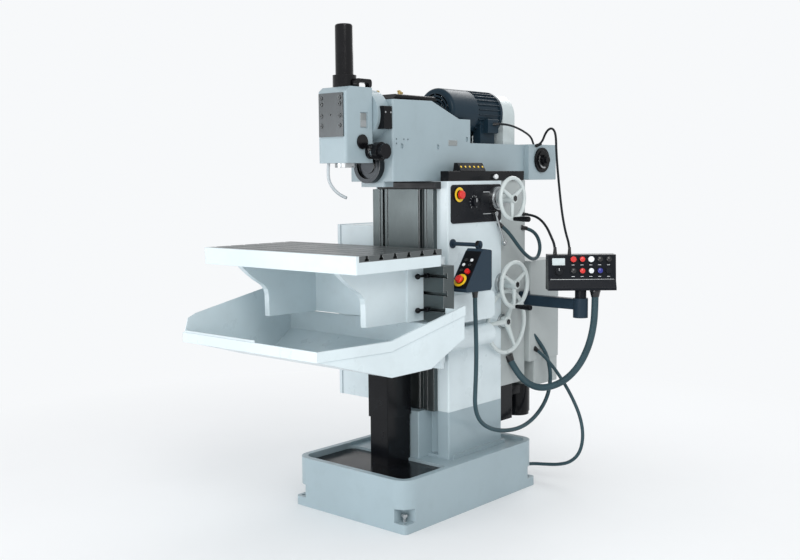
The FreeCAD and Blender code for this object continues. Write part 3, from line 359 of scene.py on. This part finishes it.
slots = {row["node"]: row["material_slot"] for row in frame["record"]["subparts"]}
for node, obj in nodes.items():
    if node in SPECIAL:
        look, coat = SPECIAL[node]
        gloss = DARK_GLOSS if slots[node] in DARK_SLOTS else 0.5
        chosen = material(node, look, coat=coat, gloss=gloss)
    else:
        chosen = made[slots[node]]
    obj.data.materials.clear()
    obj.data.materials.append(chosen)


# ---- mesh helpers ----
def piece(name, body, mesh, chosen):
    """Turns a bmesh into a piece that rides on a body."""
    for face in mesh.faces:
        face.smooth = True
    bmesh.ops.recalc_face_normals(mesh, faces=mesh.faces)
    for edge in mesh.edges:
        if len(edge.link_faces) == 2 and edge.calc_face_angle(0) > math.radians(34):
            edge.smooth = False
    data = bpy.data.meshes.new(name)
    mesh.to_mesh(data)
    mesh.free()
    obj = bpy.data.objects.new(name, data)
    bpy.context.collection.objects.link(obj)
    data.materials.append(chosen)
    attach(obj, body)
    return obj


def basis(axis):
    """A turn that takes +Z to the axis."""
    return Vector((0, 0, 1)).rotation_difference(Vector(axis).normalized()).to_matrix()


def lathe(mesh, profile, at, axis, sides=36):
    """Turns (radius, height) points about an axis."""
    turn = basis(axis)
    rings = []
    for radius, height in profile:
        if radius < 1e-6:
            rings.append([mesh.verts.new(Vector(at) + turn @ Vector((0, 0, height)))])
            continue
        ring = []
        for k in range(sides):
            angle = 2 * math.pi * k / sides
            point = Vector((radius * math.cos(angle), radius * math.sin(angle), height))
            ring.append(mesh.verts.new(Vector(at) + turn @ point))
        rings.append(ring)
    for low, high in zip(rings, rings[1:]):
        for k in range(sides):
            n = (k + 1) % sides
            if len(low) == 1:
                mesh.faces.new((low[0], high[n], high[k]))
            elif len(high) == 1:
                mesh.faces.new((low[k], low[n], high[0]))
            else:
                mesh.faces.new((low[k], low[n], high[n], high[k]))


def plate(mesh, at, across, along, width, height, thick, corner=0.002, bevel=0.0006):
    """A rounded rectangle standing on a surface, its middle at the given point."""
    u = Vector(across).normalized()
    v = Vector(along).normalized()
    w = u.cross(v)
    loops = []
    for inset, rise in ((0, 0), (0, thick - bevel), (bevel, thick)):
        ring = []
        for sx, sy, start in ((1, 1, 0), (-1, 1, 90), (-1, -1, 180), (1, -1, 270)):
            for k in range(5):
                angle = math.radians(start + 22.5 * k)
                r = corner - inset * 0.5
                x = sx * (width / 2 - corner - inset * 0.5) + r * math.cos(angle)
                y = sy * (height / 2 - corner - inset * 0.5) + r * math.sin(angle)
                ring.append(mesh.verts.new(Vector(at) + u * x + v * y + w * rise))
        loops.append(ring)
    count = len(loops[0])
    for low, high in zip(loops, loops[1:]):
        for k in range(count):
            n = (k + 1) % count
            mesh.faces.new((low[k], low[n], high[n], high[k]))
    mesh.faces.new(loops[-1])
    mesh.faces.new(loops[0][::-1])


def screw_head(mesh, at, axis, r=0.005, rise=0.003):
    lathe(mesh, [(r, 0), (r, rise * 0.7), (r * 0.85, rise), (r * 0.45, rise), (r * 0.45, rise * 0.4),
                 (0, rise * 0.4)], at, axis, 18)


# ---- cords, on the routes of the CAD tubes ----
def on_box(u, v, z):
    """A point of the control box in metres: u along its face, v out of it."""
    t = math.radians(41.5)
    return (0.515 + u * math.cos(t) + v * math.sin(t), 0.545 + u * math.sin(t) - v * math.cos(t), z)


def cord(node, points, diameter, slot):
    data = bpy.data.curves.new(node + "_line", "CURVE")
    data.dimensions = "3D"
    data.bevel_depth = diameter / 2
    data.bevel_resolution = 6
    data.resolution_u = 14
    data.use_fill_caps = True
    spline = data.splines.new("NURBS")
    spline.points.add(len(points) - 1)
    for point, where in zip(spline.points, points):
        point.co = (*where, 1.0)
    spline.order_u = 3
    spline.use_endpoint_u = True
    obj = bpy.data.objects.new(node + "_line", data)
    bpy.context.collection.objects.link(obj)
    data.materials.append(made[slot])
    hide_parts(node)
    return obj


conduit_start = on_box(0.064, 0.012, 0.932)
ram_cable_end = on_box(-0.052, -0.004, 1.093)
panel_cable_end = on_box(-0.118, -0.004, 1.093)
CORDS = [
    ("pendant_hose", "machine", 0.019, 1.620, "medium", "hose_teal",
     [(0.358, -0.044, 0.969), (0.358, -0.044, 0.905), (0.358, -0.038, 0.800), (0.353, -0.028, 0.670),
      (0.342, -0.020, 0.550), (0.328, -0.008, 0.452), (0.312, 0.050, 0.374), (0.298, 0.155, 0.318),
      (0.286, 0.290, 0.283), (0.278, 0.430, 0.274), (0.268, 0.560, 0.304), (0.262, 0.660, 0.372),
      (0.256, 0.700, 0.460), (0.250, 0.690, 0.550), (0.238, 0.650, 0.630), (0.218, 0.600, 0.690)]),
    ("supply_cable", "machine", 0.016, 0.961, "medium", "hose_teal",
     [(0.218, 0.606, 0.622), (0.268, 0.600, 0.600), (0.330, 0.596, 0.552), (0.394, 0.590, 0.486),
      (0.452, 0.584, 0.412), (0.502, 0.576, 0.328), (0.522, 0.570, 0.240), (0.506, 0.566, 0.160),
      (0.456, 0.566, 0.108), (0.390, 0.566, 0.084), (0.312, 0.562, 0.073), (0.266, 0.552, 0.070),
      (0.238, 0.520, 0.070), (0.235, 0.480, 0.070), (0.235, 0.452, 0.070)]),
    ("control_conduit", "machine", 0.032, 0.813, "medium", "hose_teal",
     [(conduit_start[0], conduit_start[1], 0.929),
      (conduit_start[0] + 0.004, conduit_start[1] - 0.006, 0.850),
      (conduit_start[0] + 0.004, conduit_start[1] - 0.018, 0.760), (0.558, 0.548, 0.670),
       (0.520, 0.532, 0.580),
      (0.462, 0.512, 0.510), (0.392, 0.490, 0.470), (0.326, 0.468, 0.462), (0.268, 0.450, 0.492),
      (0.226, 0.436, 0.546), (0.194, 0.424, 0.608)]),
    ("ram_cable", "machine", 0.011, 0.801, "limp", "cable_black",
     [(0.1521, 0.715, 1.5955), (0.172, 0.713, 1.601), (0.194, 0.710, 1.620), (0.210, 0.705, 1.650),
      (0.234, 0.698, 1.672), (0.262, 0.688, 1.676), (0.286, 0.675, 1.658), (0.302, 0.660, 1.624),
      (0.314, 0.644, 1.572), (0.330, 0.628, 1.504), (0.350, 0.610, 1.428), (0.374, 0.588, 1.348),
      (0.402, 0.564, 1.264), (0.436, 0.540, 1.186), (ram_cable_end[0], ram_cable_end[1], 1.134),
      (ram_cable_end[0], ram_cable_end[1], 1.0935)]),
    ("panel_cable", "machine", 0.012, 0.329, "limp", "cable_black",
     [(0.194, 0.536, 1.270), (0.244, 0.542, 1.268), (0.296, 0.538, 1.250), (0.344, 0.522, 1.214),
      (0.380, 0.502, 1.174), (panel_cable_end[0], panel_cable_end[1], 1.132),
      (panel_cable_end[0], panel_cable_end[1], 1.0935)]),
    ("loop_hose", "machine", 0.017, 0.560, "medium", "hose_teal",
     [(0.206, 0.322, 1.236), (0.236, 0.338, 1.214), (0.254, 0.372, 1.172), (0.262, 0.418, 1.122),
      (0.264, 0.474, 1.080), (0.260, 0.536, 1.056), (0.252, 0.592, 1.068), (0.244, 0.620, 1.116),
      (0.236, 0.604, 1.168), (0.222, 0.562, 1.200), (0.195, 0.526, 1.208)]),
    ("motor_lead", "ram", 0.010, 0.370, "limp", "cable_black",
     [(0.112, 0.412, 1.690), (0.144, 0.426, 1.692), (0.166, 0.470, 1.688), (0.170, 0.530, 1.676),
      (0.168, 0.590, 1.660), (0.160, 0.650, 1.642), (0.142, 0.700, 1.620), (0.128, 0.732, 1.594)]),
]
for node, body, diameter, length, stiffness, slot, points in CORDS:
    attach(cord(node, points, diameter, slot), body)

# ---- stage ----
FLOOR = (0.86, 0.87, 0.88)
BACKDROP = (0.97, 0.985, 1.0, 1.0)
BACKDROP_STRENGTH = 0.96


def make_stage():
    """A pale floor that passes into the backdrop's white away from the object."""
    tree = Tree("stage")
    tone = tree.mix(tree.spread(tree.noise(1.3, 3), 0.3, 0.7, 0, 1), rgba(FLOOR, 0.99),
                    rgba(FLOOR, 1.01))
    tree.put(tree.shader, "Base Color", tone)
    tree.shader.inputs["Roughness"].default_value = 0.75
    parts = tree.axes()
    reach = tree.math("ADD", tree.math("MULTIPLY", parts[0], parts[0]),
                      tree.math("MULTIPLY", parts[1], parts[1]))
    far = tree.spread(tree.math("SQRT", reach), 1.1, 3.2, 0.0, 1.0)
    glow = tree.nodes.new("ShaderNodeEmission")
    glow.inputs["Color"].default_value = BACKDROP
    glow.inputs["Strength"].default_value = BACKDROP_STRENGTH
    join = tree.nodes.new("ShaderNodeMixShader")
    tree.links.new(far, join.inputs[0])
    tree.links.new(tree.shader.outputs[0], join.inputs[1])
    tree.links.new(glow.outputs[0], join.inputs[2])
    tree.links.new(join.outputs[0], tree.nodes["Material Output"].inputs["Surface"])
    mesh = bmesh.new()
    for spot in ((-14, -14, 0), (14, -14, 0), (14, 14, 0), (-14, 14, 0)):
        mesh.verts.new(spot)
    mesh.verts.ensure_lookup_table()
    mesh.faces.new(mesh.verts)
    data = bpy.data.meshes.new("floor")
    mesh.to_mesh(data)
    mesh.free()
    floor = bpy.data.objects.new("floor", data)
    data.materials.append(tree.material)
    bpy.context.collection.objects.link(floor)


def area_light(name, at, target, size, power, tint):
    data = bpy.data.lights.new(name, "AREA")
    data.shape = "RECTANGLE"
    data.size = size[0]
    data.size_y = size[1]
    data.energy = power
    data.color = tint
    lamp = bpy.data.objects.new(name, data)
    lamp.location = at
    lamp.rotation_mode = "QUATERNION"
    lamp.rotation_quaternion = (Vector(target) - Vector(at)).to_track_quat("-Z", "Y")
    bpy.context.collection.objects.link(lamp)


make_stage()
area_light("key", (4.2, -3.2, 4.2), (0, 0, 1.0), (2.6, 2.6), 110, (1.0, 0.99, 0.97))
area_light("fill", (-2.6, -4.8, 0.95), (0, -0.4, 0.85), (3.0, 1.6), 62, (0.97, 0.98, 1.0))
area_light("front", (1.6, -5.0, 0.95), (0, -0.4, 0.85), (3.0, 1.6), 50, (1.0, 1.0, 1.0))
area_light("back", (-1.0, 5.0, 4.0), (0, 0, 1.0), (3.0, 3.0), 90, (1.0, 1.0, 1.0))
world = bpy.data.worlds.new("world")
world.use_nodes = True
world.node_tree.nodes["Background"].inputs["Color"].default_value = BACKDROP
seen = world.node_tree.nodes.new("ShaderNodeLightPath")
strength = world.node_tree.nodes.new("ShaderNodeMapRange")
strength.inputs["To Min"].default_value = 0.78
strength.inputs["To Max"].default_value = BACKDROP_STRENGTH
world.node_tree.links.new(seen.outputs["Is Camera Ray"], strength.inputs["Value"])
world.node_tree.links.new(strength.outputs[0], world.node_tree.nodes["Background"].inputs["Strength"])
bpy.context.scene.world = world
bpy.context.scene.view_settings.view_transform = "Standard"

# ---- the head ----
def head_details():
    mesh = bmesh.new()
    plate(mesh, (0.0752, -0.424, 1.682), (0, 1, 0), (0, 0, 1), 0.036, 0.058, 0.0016)
    piece("head_side_plate", "head", mesh, EXTRA["plate_steel"])
    mesh = bmesh.new()
    plate(mesh, (0.0768, -0.424, 1.668), (0, 1, 0), (0, 0, 1), 0.031, 0.026, 0.0008)
    piece("head_side_label", "head", mesh, EXTRA["label_grey"])
    mesh = bmesh.new()
    for y in (-0.344, -0.312):
        screw_head(mesh, (0.126, y, 1.716), (1, 0, 0), 0.0042, 0.0024)
    piece("tilt_scale_screws", "head", mesh, EXTRA["screw_steel"])


# ---- the ram ----
def ram_details():
    mesh = bmesh.new()
    plate(mesh, (0.124, 0.101, 1.598), (0, 1, 0), (0, 0, 1), 0.062, 0.024, 0.0014)
    piece("ram_nameplate", "ram", mesh, EXTRA["plate_steel"])
    mesh = bmesh.new()
    for y in (0.074, 0.128):
        screw_head(mesh, (0.1254, y, 1.598), (1, 0, 0), 0.0022, 0.0012)
    piece("ram_nameplate_rivets", "ram", mesh, EXTRA["screw_steel"])
    mesh = bmesh.new()
    fitting = [(0.0095, 0), (0.0095, 0.006), (0.0065, 0.007), (0.0065, 0.015), (0.0085, 0.016),
               (0.0085, 0.021), (0.004, 0.024), (0, 0.024)]
    for x, y in ((-0.045, -0.205), (0.030, -0.150), (-0.020, -0.080)):
        lathe(mesh, fitting, (x, y, 1.7975), (0, 0, 1), 24)
    piece("oil_fittings", "ram", mesh, EXTRA["brass"])
    mesh = bmesh.new()
    slope = Vector((0.036, 0, 0.026)).normalized()
    for k in range(6):
        spot = Vector((0.201, 0.062 + 0.031 * k, 1.492))
        lathe(mesh, [(0.0052, -0.001), (0.0052, 0.0012), (0.0040, 0.0020), (0, 0.0020)],
              spot, slope, 20)
    piece("way_lamp_dots", "machine", mesh, EXTRA["yellow"])
    mesh = bmesh.new()
    knob = [(0.006, 0), (0.006, 0.006), (0.011, 0.008), (0.012, 0.013), (0.009, 0.018), (0, 0.019)]
    lathe(mesh, knob, (0.214, 0.287, 1.448), (1, 0, 0), 28)
    piece("ram_lock_knob", "machine", mesh, EXTRA["white_small"])


# ---- the range dial and handwheels ----
def dial_details():
    mesh = bmesh.new()
    outer = []
    inner = []
    for k in range(15):
        angle = math.radians(150 + 10 * k)
        for radius, ring in ((0.0405, outer), (0.0335, inner)):
            spot = (0.1664, 0.762 + radius * math.cos(angle), 1.527 + radius * math.sin(angle))
            ring.append(mesh.verts.new(spot))
    for k in range(14):
        mesh.faces.new((outer[k], outer[k + 1], inner[k + 1], inner[k]))
    grown = bmesh.ops.extrude_face_region(mesh, geom=list(mesh.faces))
    raised = [v for v in grown["geom"] if isinstance(v, bmesh.types.BMVert)]
    bmesh.ops.translate(mesh, verts=raised, vec=(0.0010, 0, 0))
    piece("range_dial_scale", "range_dial", mesh, EXTRA["screw_steel"])


WHEELS = (("ram_handwheel", 0.292, 1.350), ("table_handwheel", 0.342, 0.957),
          ("knee_handwheel", 0.348, 0.780))


def wheel_details():
    for node, y, z in WHEELS:
        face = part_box(node)[1][0]
        mesh = bmesh.new()
        nut = [(0.0135, 0), (0.0135, 0.0035), (0.010, 0.005), (0.005, 0.005), (0.005, 0.003),
               (0, 0.003)]
        lathe(mesh, nut, (face, y, z), (1, 0, 0), 6)
        piece(node + "_nut", node, mesh, EXTRA["black_small"])


# ---- the side panel ----
def panel_details():
    mesh = bmesh.new()
    collar = [(0.0200, 0), (0.0322, 0), (0.0322, 0.0007), (0.0312, 0.0011), (0.0200, 0.0011),
              (0.0200, 0)]
    lathe(mesh, collar, (0.2220, 0.024, 1.371), (1, 0, 0), 48)
    piece("panel_stop_disc", "machine", mesh, EXTRA["yellow"])
    mesh = bmesh.new()
    for k in range(11):
        angle = math.radians(-50 + 28 * k)
        spot = Vector((0.2170, 0.135 + 0.028 * math.cos(angle), 1.336 + 0.028 * math.sin(angle)))
        along = Vector((0, math.cos(angle), math.sin(angle)))
        plate(mesh, spot, along.cross(Vector((1, 0, 0))), along, 0.0014, 0.006, 0.0005, 0.0005, 0.0002)
    plate(mesh, (0.2320, 0.135, 1.345), (0, 1, 0), (0, 0, 1), 0.0026, 0.017, 0.0008, 0.001, 0.0003)
    plate(mesh, (0.2170, 0.230, 1.380), (0, 1, 0), (0, 0, 1), 0.060, 0.0022, 0.0005, 0.001, 0.0002)
    plate(mesh, (0.2170, 0.230, 1.282), (0, 1, 0), (0, 0, 1), 0.060, 0.0022, 0.0005, 0.001, 0.0002)
    piece("panel_scale", "machine", mesh, EXTRA["white_small"])


# ---- the pendant ----
PENDANT_UP = Vector((0, 0.108, 0.147)).normalized()
PENDANT_OUT = Vector((0, -0.147, 0.108)).normalized()


def on_pendant(x, along, out):
    return Vector((x, -0.160, 0.987)) + PENDANT_UP * along + PENDANT_OUT * out


def pendant_details():
    mesh = bmesh.new()
    collar = [(0.0185, 0), (0.0302, 0), (0.0302, 0.0008), (0.0292, 0.0012), (0.0185, 0.0012),
              (0.0185, 0)]
    lathe(mesh, collar, on_pendant(0.356, 0.036, 0.005), PENDANT_OUT, 48)
    piece("pendant_stop_disc", "machine", mesh, EXTRA["yellow"])
    cap = [(0.0072, 0), (0.0072, 0.0022), (0.0055, 0.0032), (0, 0.0034)]
    groups = (("pendant_white_caps", EXTRA["white_small"], "white_plastic",
               ((0.340, 0.112), (0.372, 0.136))),
              ("pendant_black_caps", EXTRA["black_small"], "black_plastic",
               ((0.340, 0.084), (0.372, 0.112), (0.342, 0.136))))
    for name, chosen, slot, spots in groups:
        mesh = bmesh.new()
        for x, along in spots:
            lathe(mesh, cap, on_pendant(x, along, 0.005), PENDANT_OUT, 28)
        piece(name, "machine", mesh, chosen)


# ---- the control box ----
BOX_TILT = math.radians(8.7)
BOX_OUT = Vector((math.sin(math.radians(41.5)) * math.cos(BOX_TILT),
                  -math.cos(math.radians(41.5)) * math.cos(BOX_TILT), math.sin(BOX_TILT)))
BOX_ACROSS = Vector((math.cos(math.radians(41.5)), math.sin(math.radians(41.5)), 0))


def on_face(u, z, out=0.0):
    """A point over the control box's leaning face."""
    v = 0.036 + (1.093 - z) * 10.0 / 117.0
    return Vector(on_box(u, v, z)) + BOX_OUT * out


def box_details():
    up = BOX_OUT.cross(BOX_ACROSS)
    cap = [(0.0118, 0), (0.0118, 0.0022), (0.0098, 0.0036), (0, 0.0038)]
    colors = (("black_small", "black_plastic", ((3, 1.072), (4, 1.072), (0, 1.020))),
              ("red_small", "red_plastic", ((1, 1.072), (1, 1.020))),
              ("white_small", "white_plastic", ((2, 1.020),)),
              ("button_blue", "black_plastic", ((3, 1.020),)))
    for chosen, slot, spots in colors:
        mesh = bmesh.new()
        for col, z in spots:
            lathe(mesh, cap, on_face(-0.042 + 0.040 * col, z, 0.0138), BOX_OUT, 32)
        piece("box_caps_" + chosen, "control_box", mesh, EXTRA[chosen])
    mesh = bmesh.new()
    plate(mesh, on_face(-0.108, 1.062, 0.0002), BOX_ACROSS, up, 0.058, 0.032, 0.0014)
    piece("box_display", "control_box", mesh, EXTRA["display"])
    mesh = bmesh.new()
    for col in range(5):
        for z in (1.047, 0.995):
            plate(mesh, on_face(-0.042 + 0.040 * col, z, 0.0002), BOX_ACROSS, up, 0.014, 0.0022,
                  0.0005, 0.0008, 0.0002)
    plate(mesh, on_face(-0.108, 1.0265, 0.0182), BOX_ACROSS, up, 0.0022, 0.012, 0.0007, 0.0008, 0.0002)
    piece("box_marks", "control_box", mesh, EXTRA["white_small"])
    mesh = bmesh.new()
    plate(mesh, on_face(-0.0015, 0.982, 0.0002), BOX_ACROSS, up, 0.290, 0.0030, 0.0010, 0.001, 0.0003)
    piece("box_trim", "control_box", mesh, EXTRA["screw_steel"])


# ---- strain reliefs where the cords leave and enter ----
def relief(name, body, at, toward, radius):
    mesh = bmesh.new()
    wide = radius * 1.55
    thin = radius * 1.12
    profile = [(radius * 1.01, 0), (wide, 0), (wide, 0.007), (wide * 0.94, 0.009),
               (thin * 1.08, 0.026), (thin, 0.032), (radius * 1.01, 0.032), (radius * 1.01, 0)]
    lathe(mesh, profile, at, Vector(toward) - Vector(at), 28)
    piece(name, body, mesh, EXTRA["black_small"])


def cord_details():
    for node, body, diameter, length, stiffness, slot, points in CORDS:
        relief(node + "_relief", body, points[0], points[1], diameter / 2)
        if node not in ("pendant_hose", "motor_lead"):
            relief(node + "_end_relief", body, points[-1], points[-2], diameter / 2)


# ---- panels and louvres of the back and the left side ----
DOOR_HANDLE_DEPTH = 0.0175


def back_details():
    low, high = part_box("rear_housing")
    mesh = bmesh.new()
    for x in (-0.195, 0.195):
        for z in (0.600, 0.740, 0.880, 1.020):
            screw_head(mesh, (x, high[1] - 0.0001, z), (0, 1, 0), 0.0055, 0.0026)
    piece("rear_housing_screws", "machine", mesh, EXTRA["screw_steel"])
    mesh = bmesh.new()
    for k in range(9):
        plate(mesh, (0, high[1] - 0.0001, 0.640 + 0.016 * k), (-1, 0, 0), (0, 0, 1), 0.150, 0.005,
              0.0018, 0.002, 0.0005)
    piece("rear_louvres", "machine", mesh, EXTRA["black_small"])
    low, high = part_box("cabinet_door")
    face = low[0] + DOOR_HANDLE_DEPTH
    mesh = bmesh.new()
    for k in range(8):
        plate(mesh, (face, 0.170, 1.040 + 0.016 * k), (0, -1, 0), (0, 0, 1), 0.140, 0.005,
              0.0016, 0.002, 0.0005)
    piece("door_louvres", "cabinet_door", mesh, EXTRA["black_small"])



head_details()
ram_details()
back_details()
dial_details()
wheel_details()
panel_details()
pendant_details()
box_details()
cord_details()
